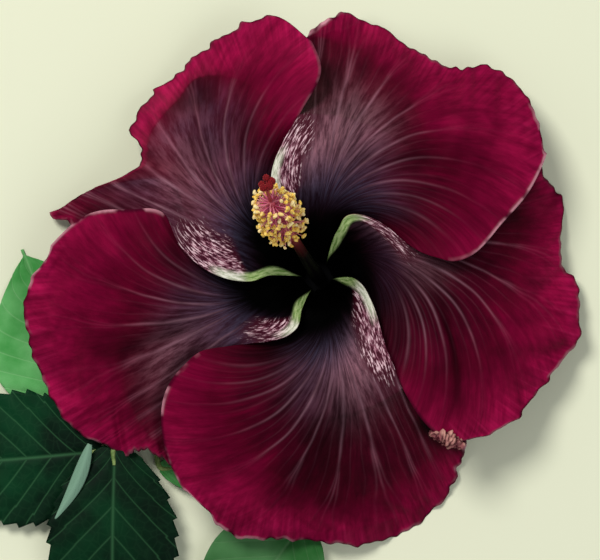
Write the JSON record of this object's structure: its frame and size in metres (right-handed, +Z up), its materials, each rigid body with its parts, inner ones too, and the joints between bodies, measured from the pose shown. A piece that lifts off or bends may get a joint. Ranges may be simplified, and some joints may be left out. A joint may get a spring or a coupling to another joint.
{
  "type": "cut hibiscus bloom",
  "caption": "Large dark crimson hibiscus flower cut with a short leafy shoot, lying face up on its petal tips, with a raised column of yellow anthers.",
  "frame": {"origin": "middle of the overall box, on the floor that the bloom lies on", "axes": "+Z straight up out of the face of the bloom, +X and +Y level: +Y is the side that the column leans to and the shoot's leaves lie on -X and -Y"},
  "size_m": [0.2254, 0.223, 0.0952],
  "materials": {
    "petal": "satin",
    "calyx_green": "matt",
    "stem": "matt",
    "column": "satin",
    "stigma": "velvety",
    "leaf_dark": "satin",
    "leaf_bright": "satin"
  },
  "bodies": {
    "root": {"petal_upper_right": "petal", "petal_right": "petal", "petal_bottom": "petal", "petal_left": "petal", "petal_upper_left": "petal", "calyx": "calyx_green", "pedicel": "stem", "shoot": "stem", "staminal_column": "column", "style_branches": "stigma", "leaf_left": "leaf_bright", "leaf_far_left": "leaf_dark", "leaf_front": "leaf_dark", "leaf_bottom": "leaf_bright", "leaf_small": "leaf_bright"}
  },
  "joints": []
}
